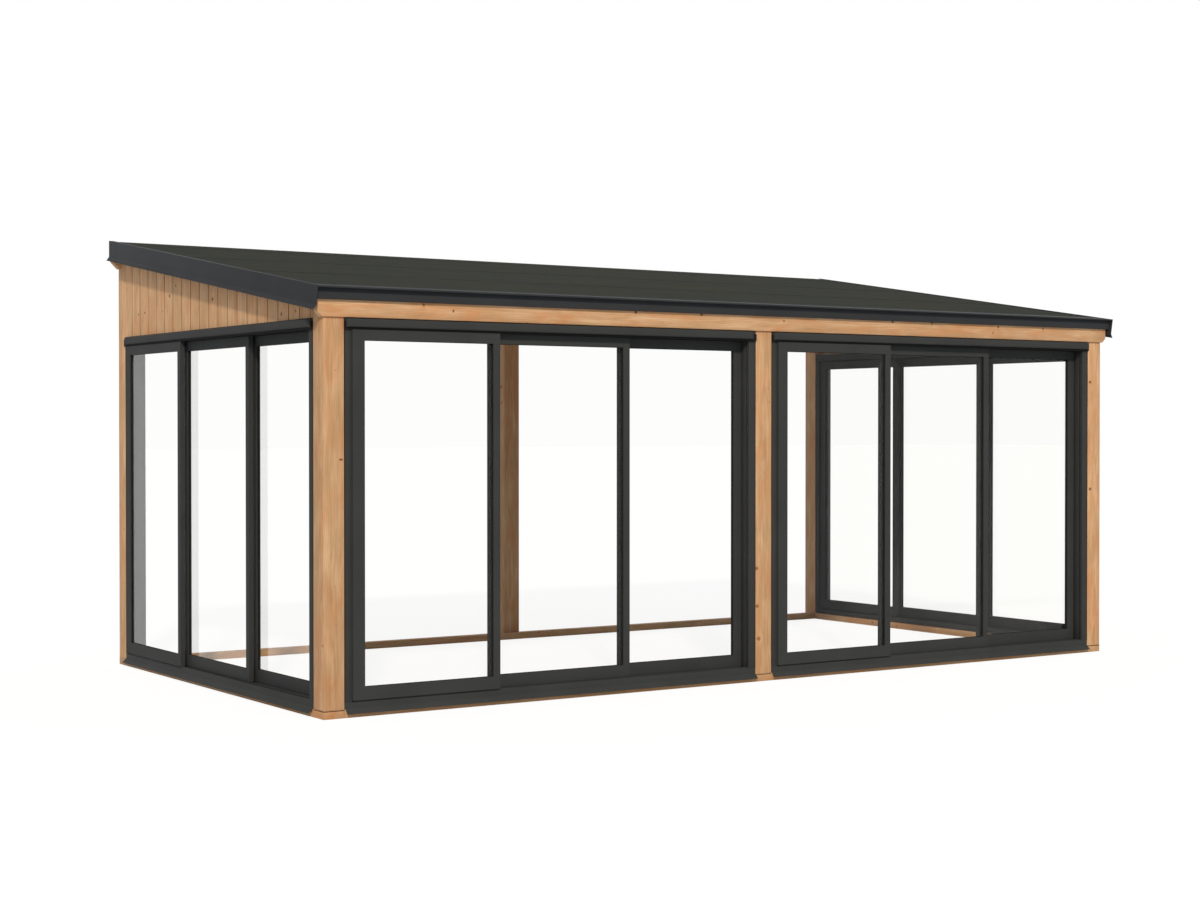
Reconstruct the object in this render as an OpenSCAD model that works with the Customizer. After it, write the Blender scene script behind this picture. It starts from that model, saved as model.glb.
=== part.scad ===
// Summerhouse with a low pent roof: a post-and-beam timber frame, open at the back, whose front
// and sides are closed by sliding glass doors on three tracks.
// x runs along the front, y from the front to the back and z up.

/* [Walls] */
// Length of the front wall over the corner posts
wall_w = 5760; // [5300:10:6300]
// Depth of the side walls over the corner posts
wall_d = 2960; // [2700:10:3300]
// Side of the square posts
post_s = 120; // [110:5:140]
// Height of the plates that the posts stand on
plate_h = 45; // [35:5:60]
// Width of the plate along the open back
back_plate_w = 70; // [50:5:110]
// Depth of the middle post in the back, which is notched over that plate
back_post_d = 70; // [60:5:120]
// Underside of the front beam, which is the top of the doors
door_top_z = 2080; // [2030:5:2110]

/* [Beams and rafters] */
// Thickness of the beams and rafters
beam_t = 45; // [38:1:60]
// How far the beams stand out from the posts
beam_out = 12; // [5:1:20]
// How far the front beam's ends run past the corner posts
beam_end = 38; // [20:1:52]
// Chamfer on those ends
beam_chamfer = 28; // [10:1:45]
// How far the back beam's ends run past the corner posts
back_beam_end = 50; // [20:1:52]
// Chamfer on those ends
back_beam_chamfer = 42; // [10:1:45]
// Underside of the back beam
back_beam_z = 2515; // [2480:5:2530]
// Height of the rafters, square to the slope
rafter_h = 120; // [90:5:125]
// Rafters in each bay, not counting the ones over the posts
bay_rafters = 3; // [2:1:5]
// Height of the rail over the side doors
rail_h = 70; // [45:5:100]
// Thickness of the vertical boards above the side doors
board_t = 18; // [15:1:22]

/* [Roof] */
// Height of the roof surface over the front face of the posts
roof_z = 2244; // [2240:1:2300]
// Rise of the roof in each metre towards the back
roof_rise = 151.7; // [120:0.1:180]
// Overhang of the roof at the front
front_overhang = 59; // [45:1:120]
// Overhang of the roof at each side
side_overhang = 58; // [55:1:120]
// Thickness of the roof boards
deck_t = 18; // [15:1:24]
// Thickness of the roofing felt
felt_t = 6; // [3:1:8]
// Thickness of the sheet-metal trims
trim_t = 2; // [1:0.5:3]
// Height of the upright face of the verge trims
verge_h = 100; // [70:5:140]
// How far the lower lip of the verge trims kicks out
kick_out = 18; // [8:1:30]
// Height of that lower lip
kick_h = 25; // [10:1:40]
// Width of the trims' flanges on the roof
flange_w = 34; // [20:1:60]
// Height of the drip lip on the front trim
drip_h = 8; // [4:1:15]
// Thickness of the front fascia
fascia_t = 18; // [12:1:25]
// Lower edge of the front fascia
fascia_z = 2169; // [2150:1:2190]

/* [Door frames] */
// Distance from one track to the next
track_pitch = 45; // [42:1:50]
// Depth of the door frames behind the wall face
frame_d = 116; // [112:1:120]
// Width of the jambs
jamb_w = 50; // [45:1:60]
// Height of the head
head_h = 50; // [45:1:60]
// How far the head's cover stands out from the wall face
head_out = 28; // [22:1:35]
// Corner radius of the head's cover
head_r = 8; // [2:1:8]
// Gap between the cover and the beam over it
cover_drop = 5; // [0:1:10]
// Height of the sill above its plate
sill_h = 35; // [30:1:40]
// How far the sill's nose stands out from the wall face
nose_out = 28; // [20:1:45]
// Height of the rails on the sill
sill_rail_h = 4; // [2:0.5:4]

/* [Doors] */
// Thickness of a door
door_t = 28; // [24:1:30]
// How far the outermost doors stand out from the wall face
door_out = 13; // [8:1:15]
// Overlap of neighbouring doors
door_lap = 42; // [30:1:50]
// Width of the stiles that meet a jamb
jamb_stile = 70; // [55:1:80]
// Width of the stiles that meet another door
lap_stile = 43; // [35:1:50]
// Height of the bottom rails
bottom_rail = 68; // [50:1:90]
// Height of the top rails
top_rail = 55; // [40:1:70]
// Gap between a door and the sill or the head's cover
door_gap = 9; // [9:1:12]
// Thickness of the glass
glass_t = 6; // [4:1:8]
// How deep the glass sits in its frame
glass_bite = 12; // [8:1:15]

/* [Hidden] */
$fn = 48;

timber = "#c89d73";
dark_metal = "#3d3d3d";
felt_green = "#3e403c";
clear_glass = [0.75, 0.85, 0.85, 0.3];

// Clear distance kept between moving and fixed pieces
clearance = 5;
// Gap left where two sloping faces lie on each other
bed_gap = 0.2;
// Post positions along the front
post_x = [0, (wall_w - post_s) / 2, wall_w - post_s];
front_bay = post_x[1] - post_s;
side_bay = wall_d - 2 * post_s;

// Roof layers, measured square to the slope from the top of the trims
slope = atan(roof_rise / 1000);
felt_top = -trim_t - bed_gap;
deck_top = felt_top - felt_t;
deck_under = deck_top - deck_t;
frame_top = deck_under - bed_gap;
rafter_under = frame_top - rafter_h;
roof_front_y = -front_overhang;
roof_back_y = wall_d + beam_out;
roof_x = [-side_overhang, wall_w + side_overhang];
verge_drop = verge_h + kick_h;
drip_flange = 90;

// Beam positions
front_beam_y = [-beam_out, beam_t - beam_out];
back_beam_y = [roof_back_y - beam_t, roof_back_y];

// Heights in the door openings
sill_z = plate_h + sill_h;
head_z = door_top_z - head_h;
door_z = sill_z + door_gap;
door_h = head_z - door_gap - 3 - door_z;
fin_t = 6;
fin_h = 32;
fin_inset = 15;
divider_t = 6;
head_roof = 18;
nose_inset = 6;
near_inset = 8;
far_inset = 28;
side_far_inset = 42;
groove_w = 8;
sheet_t = 4;
rail_t = 4;

// Middle of the depth, from the front edge of the roof to its back edge
y_mid = (roof_front_y + roof_back_y) / 2;

// Height at depth y of a plane that lies n above the roof surface
function roof_at(y, n = 0) = roof_z + y * roof_rise / 1000 + n / cos(slope);

// Middle of track k, 1 being the outermost
function track_v(k) = door_t / 2 - door_out + (k - 1) * track_pitch;

// Width of door k in a bay, the middle one being the wider
door_ends = [jamb_w - clearance - 2, jamb_w - 3 * clearance];
mid_extra = 36;
function outer_w(bay) = (bay - door_ends[0] - door_ends[1] + 2 * door_lap - mid_extra) / 3;
function door_w(bay, k) = outer_w(bay) + (k == 2 ? mid_extra : 0);
function door_u(bay, k) =
  k == 1 ? door_ends[0]
  : k == 2 ? door_ends[0] + door_w(bay, 1) - door_lap
  : bay - door_ends[1] - door_w(bay, 3);
function bay_of(side) = side == "left" || side == "right" ? side_bay : front_bay;

// Values for a bay's left and right ends seen from outside, from those for its two ends:
// the end nearer the front left corner, and the other
function by_end(side, near, far) = side == "left" ? [far, near] : [near, far];

// Moves the corner of the front-left post away from the origin, to the part's own frame
module in_frame() {
  translate([-wall_w / 2, -y_mid, 0]) children();
}

// Runs a [y, z] outline along x
module run_x(x0, x1) {
  translate([x0, 0, 0]) rotate([90, 0, 90]) linear_extrude(x1 - x0) children();
}

// Runs an [x, z] outline along y
module run_y(y0, y1) {
  translate([0, y1, 0]) rotate([90, 0, 0]) linear_extrude(y1 - y0) children();
}

// Runs an outline, x along the eaves and y square to the roof, up the slope
module run_slope(y0, y1) {
  translate([0, y1, roof_at(y1)]) rotate([90 + slope, 0, 0])
    linear_extrude((y1 - y0) / cos(slope)) children();
}

// Places a door opening's own frame: x from its left end seen from outside, y inwards
module in_bay(side) {
  in_frame()
    if (side == "front_left") translate([post_s, 0, 0]) children();
    else if (side == "front_right") translate([post_x[1] + post_s, 0, 0]) children();
    else if (side == "left") translate([0, wall_d - post_s, 0]) rotate([0, 0, -90]) children();
    else translate([wall_w, post_s, 0]) rotate([0, 0, 90]) children();
}

module front_plate() {
  color(timber) in_frame()
    translate([post_s, 0, 0]) cube([wall_w - 2 * post_s, post_s, plate_h]);
}

module side_plate(x) {
  color(timber) in_frame()
    translate([x, 0, 0]) cube([post_s, wall_d, plate_h]);
}

module back_plate() {
  color(timber) in_frame()
    translate([post_s, wall_d - post_s, 0])
      cube([wall_w - 2 * post_s, back_plate_w, plate_h]);
}

// Front posts, notched behind the beam and cut to the slope of the roof
module front_posts() {
  color(timber) in_frame()
    for (x = post_x) run_x(x, x + post_s)
      polygon([
        [0, plate_h], [post_s, plate_h],
        [post_s, roof_at(post_s, frame_top)],
        [front_beam_y[1], roof_at(front_beam_y[1], frame_top)],
        [front_beam_y[1], door_top_z], [0, door_top_z]
      ]);
}

// A back post of a given depth, notched in front of the beam; foot_y is the depth of its notch
// over the back plate, and a post without one stands on a plate
module back_post(x, depth, foot_y) {
  post_y = wall_d - depth;
  run_x(x, x + post_s) difference() {
    polygon([
      [post_y, 0], [wall_d, 0],
      [wall_d, back_beam_z], [back_beam_y[0], back_beam_z],
      [back_beam_y[0], roof_at(back_beam_y[0], frame_top)],
      [post_y, roof_at(post_y, frame_top)]
    ]);
    translate([post_y - 1, -1]) square([foot_y - post_y + 1, plate_h + 1]);
  }
}

// The corner posts stand on the side plates, and the middle one behind the back plate
module back_posts() {
  color(timber) in_frame() {
    for (i = [0, 2]) back_post(post_x[i], post_s, wall_d + 1);
    back_post(post_x[1], back_post_d, wall_d - post_s + back_plate_w);
  }
}

// A beam between two depths, bevelled to the roof on top and chamfered at its lower ends
module beam(y, z, end, chamfer) {
  high_z = roof_at(y[1]) + 1;
  x = [-end, wall_w + end];
  color(timber) in_frame() intersection() {
    run_x(x[0], x[1])
      polygon([
        [y[0], z], [y[1], z],
        [y[1], roof_at(y[1], frame_top)], [y[0], roof_at(y[0], frame_top)]
      ]);
    run_y(y[0], y[1])
      polygon([
        [x[0] + chamfer, z], [x[1] - chamfer, z],
        [x[1], z + chamfer], [x[1], high_z],
        [x[0], high_z], [x[0], z + chamfer]
      ]);
  }
}

module front_beam() {
  beam(front_beam_y, door_top_z, beam_end, beam_chamfer);
}

module back_beam() {
  beam(back_beam_y, back_beam_z, back_beam_end, back_beam_chamfer);
}

// A rafter whose left face is at x, between two depths
module rafter(x, y0, y1) {
  run_x(x, x + beam_t)
    polygon([
      [y0, roof_at(y0, rafter_under)], [y1, roof_at(y1, rafter_under)],
      [y1, roof_at(y1, frame_top)], [y0, roof_at(y0, frame_top)]
    ]);
}

// Rafters between the posts, and between the beams in each bay
module rafters() {
  step = front_bay / (bay_rafters + 1);
  color(timber) in_frame() {
    for (x = [board_t, wall_w - board_t - beam_t]) rafter(x, post_s, wall_d - post_s);
    rafter((wall_w - beam_t) / 2, post_s, wall_d - back_post_d);
    for (i = [0, 1], k = [1 : bay_rafters])
      rafter(post_x[i] + post_s + k * step - beam_t / 2, front_beam_y[1], back_beam_y[0]);
  }
}

// Rails over the side doors, bevelled at the front to pass under the gable rafters
module gable_rails() {
  top_z = door_top_z + rail_h;
  bevel_n = rafter_under - bed_gap;
  bevel_y = (top_z - roof_at(0, bevel_n)) * 1000 / roof_rise;
  color(timber) in_frame()
    for (x = [board_t, wall_w - board_t - beam_t]) run_x(x, x + beam_t)
      polygon([
        [post_s, door_top_z], [wall_d - post_s, door_top_z],
        [wall_d - post_s, top_z], [bevel_y, top_z],
        [post_s, roof_at(post_s, bevel_n)]
      ]);
}

// The sheet of vertical boards that closes the gable over a side door
module gable_boards(x) {
  y = [post_s, wall_d - post_s];
  color(timber) in_frame() run_x(x, x + board_t)
    polygon([
      [y[0], door_top_z], [y[1], door_top_z],
      [y[1], roof_at(y[1], frame_top)], [y[0], roof_at(y[0], frame_top)]
    ]);
}

// A layer of the roof between two heights square to the slope
module roof_layer(n0, n1) {
  in_frame() run_slope(-beam_out, roof_back_y)
    translate([roof_x[0] + trim_t, n0]) square([roof_x[1] - roof_x[0] - 2 * trim_t, n1 - n0]);
}

module roof_boards() {
  color(timber) roof_layer(deck_under, deck_top);
}

module roof_felt() {
  color(felt_green) roof_layer(deck_top, felt_top);
}

// Outline of a verge trim, from its flange on the felt to its kicked-out lower lip
module verge_outline() {
  polygon([
    [flange_w, 0], [0, 0], [0, -verge_h],
    [-kick_out, -verge_drop], [trim_t - kick_out, -verge_drop],
    [trim_t, -verge_h], [trim_t, -trim_t], [flange_w, -trim_t]
  ]);
}

// A verge trim along the left edge of the roof, cut plumb at the back
module verge_trim() {
  difference() {
    run_slope(roof_front_y, roof_back_y) translate([roof_x[0], 0]) verge_outline();
    translate([roof_x[0] - kick_out - 1, roof_back_y, roof_at(roof_back_y) - 2 * verge_drop])
      cube([kick_out + flange_w + 2, verge_drop, 3 * verge_drop]);
  }
}

module left_verge_trim() {
  color(dark_metal) in_frame() verge_trim();
}

module right_verge_trim() {
  color(dark_metal) in_frame() translate([wall_w, 0, 0]) mirror([1, 0, 0]) verge_trim();
}

// Front trim: a flange on the felt that runs out past the fascia to a small drip lip
module front_drip_trim() {
  flange_x = roof_x[0] + flange_w;
  lip_x = roof_x[0] + trim_t;
  color(dark_metal) in_frame() {
    run_slope(roof_front_y, roof_front_y + drip_flange)
      translate([flange_x, -trim_t]) square([wall_w - 2 * flange_x, trim_t]);
    run_slope(roof_front_y, roof_front_y + trim_t)
      translate([lip_x, -drip_h]) square([wall_w - 2 * lip_x, drip_h - trim_t]);
  }
}

module front_fascia() {
  y = [-beam_out - fascia_t, -beam_out];
  color(dark_metal) in_frame()
    run_x(roof_x[0] + trim_t + bed_gap, roof_x[1] - trim_t - bed_gap)
      polygon([
        [y[0], fascia_z], [y[1], fascia_z],
        [y[1], roof_at(y[1], felt_top)], [y[0], roof_at(y[0], felt_top)]
      ]);
}

// Section of the head: a rounded cover in front, and one channel for each track
module head_outline() {
  cover_z = door_top_z - cover_drop;
  difference() {
    union() {
      translate([0, head_z]) square([frame_d, head_h]);
      translate([head_r - head_out, head_z]) square([head_out, cover_z - head_z]);
      translate([-head_out, head_z + head_r])
        square([head_r, cover_z - head_z - 2 * head_r]);
      for (z = [head_z + head_r, cover_z - head_r])
        translate([head_r - head_out, z]) circle(head_r);
    }
    for (k = [1, 2, 3]) {
      v0 = k == 1 ? -head_out + head_r : track_v(k) - (track_pitch - divider_t) / 2;
      v1 = k == 3 ? frame_d - divider_t : track_v(k) + (track_pitch - divider_t) / 2;
      translate([v0, head_z - 1]) square([v1 - v0, head_h - head_roof + 1]);
    }
  }
}

// How far a head's cover stops short of the posts at its left and right ends
function cover_insets(side) =
  side == "front_left" ? [near_inset, far_inset]
  : side == "front_right" ? [near_inset, near_inset]
  : by_end(side, near_inset, side_far_inset);

// The head fills its bay, and its cover stops short of the posts
module door_head(side) {
  bay = bay_of(side);
  inset = cover_insets(side);
  color(dark_metal) in_bay(side) difference() {
    run_x(0, bay) head_outline();
    translate([-1, -head_out - 1, head_z - 1])
      cube([inset[0] + 1, head_out + 1, head_h + 2]);
    translate([bay - inset[1], -head_out - 1, head_z - 1])
      cube([inset[1] + 1, head_out + 1, head_h + 2]);
  }
}

// Section of the sill, with its sloping nose in front of the plate
module sill_outline() {
  nose_z = sill_z - 30 - nose_out;
  polygon([
    [0, sill_z], [0, nose_z + nose_out], [-nose_out, nose_z],
    [sheet_t - nose_out, nose_z], [0, plate_h],
    [frame_d, plate_h], [frame_d, sill_z]
  ]);
}

// The sill fills its bay, its nose stops short of the nearer post, and its rails run between
// the jambs
module door_sill(side) {
  bay = bay_of(side);
  color(dark_metal) in_bay(side) {
    difference() {
      run_x(0, bay) sill_outline();
      translate([side == "left" ? bay - nose_inset : -1, -nose_out - 1, 0])
        cube([nose_inset + 1, nose_out + 1, sill_z]);
    }
    for (k = [1, 2, 3])
      translate([jamb_w + 1, track_v(k), sill_z - 1])
        cube([bay - 2 * jamb_w - 2, rail_t, sill_rail_h + 1]);
  }
}

// Both jambs of a bay, the first rebated for door 1 and the other slotted for door 3
module door_jambs(side) {
  bay = bay_of(side);
  groove_v = [24, 24 + groove_w];
  rebate_v = track_v(1) + door_t / 2 + clearance;
  slot_v = [track_v(3) - door_t / 2 - clearance, track_v(3) + door_t / 2 + clearance];
  in_u = bay - jamb_w;
  color(dark_metal) in_bay(side)
    translate([0, 0, sill_z]) linear_extrude(head_z - sill_z) {
      polygon([
        [0, 0], [door_ends[0] - clearance, 0], [door_ends[0] - clearance, rebate_v],
        [jamb_w, rebate_v], [jamb_w, groove_v[0]],
        [jamb_w - groove_w, groove_v[0]], [jamb_w - groove_w, groove_v[1]],
        [jamb_w, groove_v[1]], [jamb_w, frame_d], [0, frame_d]
      ]);
      polygon([
        [bay, 0], [bay, frame_d], [in_u, frame_d],
        [in_u, slot_v[1]], [bay - door_ends[1] + clearance, slot_v[1]],
        [bay - door_ends[1] + clearance, slot_v[0]], [in_u, slot_v[0]],
        [in_u, groove_v[1]], [in_u + groove_w, groove_v[1]],
        [in_u + groove_w, groove_v[0]], [in_u, groove_v[0]], [in_u, 0]
      ]);
    }
}

// Moves to the lower left corner of a door's middle plane
module in_door(side, k) {
  in_bay(side) translate([door_u(bay_of(side), k), track_v(k), door_z]) children();
}

// Width of a door's left and right stiles
function stiles(k) = [k == 1 ? jamb_stile : lap_stile, k == 3 ? jamb_stile : lap_stile];

// The pane, or with no bite the daylight opening, as a slab of thickness t
module pane(side, k, bite, t) {
  w = door_w(bay_of(side), k);
  s = stiles(k);
  translate([s[0] - bite, -t / 2, bottom_rail - bite])
    cube([w - s[0] - s[1] + 2 * bite, t, door_h - bottom_rail - top_rail + 2 * bite]);
}

// A door's metal frame, with a fin on top that runs in the head
module door_frame(side, k) {
  w = door_w(bay_of(side), k);
  color(dark_metal) in_door(side, k) {
    difference() {
      translate([0, -door_t / 2, 0]) cube([w, door_t, door_h]);
      pane(side, k, 0, door_t + 2);
      pane(side, k, glass_bite, glass_t);
    }
    translate([fin_inset, -fin_t / 2, door_h - 1])
      cube([w - 2 * fin_inset, fin_t, fin_h + 1]);
  }
}

module door_glass(side, k) {
  color(clear_glass) in_door(side, k) pane(side, k, glass_bite, glass_t);
}

front_plate();
side_plate(0);  // left_plate
side_plate(wall_w - post_s);  // right_plate
back_plate();
front_posts();
back_posts();
front_beam();
back_beam();
rafters();
gable_rails();
gable_boards(0);  // left_gable_boards
gable_boards(wall_w - board_t);  // right_gable_boards
roof_boards();
roof_felt();
left_verge_trim();
right_verge_trim();
front_drip_trim();
front_fascia();
door_head("front_left");  // front_left_head
door_head("front_right");  // front_right_head
door_head("left");  // left_head
door_head("right");  // right_head
door_sill("front_left");  // front_left_sill
door_sill("front_right");  // front_right_sill
door_sill("left");  // left_sill
door_sill("right");  // right_sill
door_jambs("front_left");  // front_left_jambs
door_jambs("front_right");  // front_right_jambs
door_jambs("left");  // left_jambs
door_jambs("right");  // right_jambs
door_frame("front_left", 1);  // front_left_door_1_frame
door_glass("front_left", 1);  // front_left_door_1_glass
door_frame("front_left", 2);  // front_left_door_2_frame
door_glass("front_left", 2);  // front_left_door_2_glass
door_frame("front_left", 3);  // front_left_door_3_frame
door_glass("front_left", 3);  // front_left_door_3_glass
door_frame("front_right", 1);  // front_right_door_1_frame
door_glass("front_right", 1);  // front_right_door_1_glass
door_frame("front_right", 2);  // front_right_door_2_frame
door_glass("front_right", 2);  // front_right_door_2_glass
door_frame("front_right", 3);  // front_right_door_3_frame
door_glass("front_right", 3);  // front_right_door_3_glass
door_frame("left", 1);  // left_door_1_frame
door_glass("left", 1);  // left_door_1_glass
door_frame("left", 2);  // left_door_2_frame
door_glass("left", 2);  // left_door_2_glass
door_frame("left", 3);  // left_door_3_frame
door_glass("left", 3);  // left_door_3_glass
door_frame("right", 1);  // right_door_1_frame
door_glass("right", 1);  // right_door_1_glass
door_frame("right", 2);  // right_door_2_frame
door_glass("right", 2);  // right_door_2_glass
door_frame("right", 3);  // right_door_3_frame
door_glass("right", 3);  // right_door_3_glass
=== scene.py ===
# Summerhouse with a pent roof: timber frame, sliding glass doors, felt roof with metal trims
import math
import random

import bmesh
import bpy
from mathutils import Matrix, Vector


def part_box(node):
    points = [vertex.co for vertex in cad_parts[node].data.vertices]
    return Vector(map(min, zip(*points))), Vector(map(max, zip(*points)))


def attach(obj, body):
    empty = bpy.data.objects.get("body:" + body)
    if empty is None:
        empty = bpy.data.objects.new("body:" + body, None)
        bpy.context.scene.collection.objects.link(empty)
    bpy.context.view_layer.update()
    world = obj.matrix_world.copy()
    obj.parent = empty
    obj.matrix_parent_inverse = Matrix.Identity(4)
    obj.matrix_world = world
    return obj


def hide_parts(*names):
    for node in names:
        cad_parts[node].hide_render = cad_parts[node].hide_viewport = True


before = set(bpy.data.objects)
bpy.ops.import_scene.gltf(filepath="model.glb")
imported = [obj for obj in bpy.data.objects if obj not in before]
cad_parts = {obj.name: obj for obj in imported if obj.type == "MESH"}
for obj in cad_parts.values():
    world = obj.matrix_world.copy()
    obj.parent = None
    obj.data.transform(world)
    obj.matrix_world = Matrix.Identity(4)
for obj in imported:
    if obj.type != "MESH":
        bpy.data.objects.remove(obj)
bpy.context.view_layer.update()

mm = 0.001
up = Vector((0, 0, 1))


camera = {
    "place": (-7.421, -10.8405, 1.511),
    "lens": 60.2,  # on a 36 mm sensor
    "tiltDeg": 89.346,
    "turnDeg": -33.678,
}


def makeCamera():
    data = bpy.data.cameras.new("view")
    data.lens = camera["lens"]
    data.sensor_width = 36
    data.clip_end = 400
    obj = bpy.data.objects.new("view", data)
    obj.location = camera["place"]
    obj.rotation_euler = (math.radians(camera["tiltDeg"]), 0, math.radians(camera["turnDeg"]))
    bpy.context.collection.objects.link(obj)
    bpy.context.scene.camera = obj


makeCamera()
print("camera placed")


def linear(hexColor):
    # sRGB hex to the linear values that shaders use
    channels = [int(hexColor[i:i + 2], 16) / 255 for i in (1, 3, 5)]
    return tuple(c / 12.92 if c <= 0.04045 else ((c + 0.055) / 1.055) ** 2.4 for c in channels) + (1.0,)


def add(tree, kind, settings=None, links=None):
    # One node with its settings and links: a node or a socket is linked to the input, and any
    # other value is set on it or on the node's own property
    node = tree.nodes.new("ShaderNode" + kind)
    for key, value in {**(settings or {}), **(links or {})}.items():
        if isinstance(value, bpy.types.Node):
            tree.links.new(value.outputs[0], node.inputs[key])
        elif isinstance(value, bpy.types.NodeSocket):
            tree.links.new(value, node.inputs[key])
        elif isinstance(key, str) and hasattr(node, key):
            setattr(node, key, value)
        else:
            node.inputs[key].default_value = value
    return node


def newMaterial(name):
    material = bpy.data.materials.new(name)
    material.use_nodes = True
    material.node_tree.nodes.clear()
    return material, material.node_tree


def finishSurface(tree, shader):
    add(tree, "OutputMaterial", None, {"Surface": shader.outputs[0]})


# Planed softwood, oiled: honey-coloured and softly mottled, with streaks along the grain, growth
# rings that show on every cut face, and a few round knots
softwood = {
    "pale": "#e0ba94",
    "body": "#bd9069",
    "warm": "#cf8f60",
    "olive": "#bd9f78",
    "lateWood": "#ae8158",
    "knot": "#5a3520",
    "redKnot": "#9a5d3a",
    "knotRim": "#9c6a45",
    "ringMm": 7,  # real rings are 2 to 4 mm, drawn coarser so that they show
    # Noises: mm across the grain, mm along it, detail, roughness, distortion
    "drift": (160, 900, 2, 0.5, 0.0),
    "wobble": (40, 260, 3, 0.5, 0.0),
    "streaks": (26, 380, 4, 0.6, 0.5),
    "patches": (75, 260, 3, 0.55, 0.4),
    "fibres": (2.2, 70, 3, 0.65, 0.0),
    "driftMm": 22,  # how far the rings wander, at most
    "wobbleMm": 5,
    "bulgeMm": 12,  # and how far they bend round a knot
    "lateWoodShare": 0.36,
    "knotMm": 9,
    "knotEveryMm": 240,
    "knotsRound": 3.2,  # cells in one turn round the pith
    "roughness": 0.62,
    "specular": 0.15,  # sawn fibres scatter nearly all of the light
}


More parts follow.
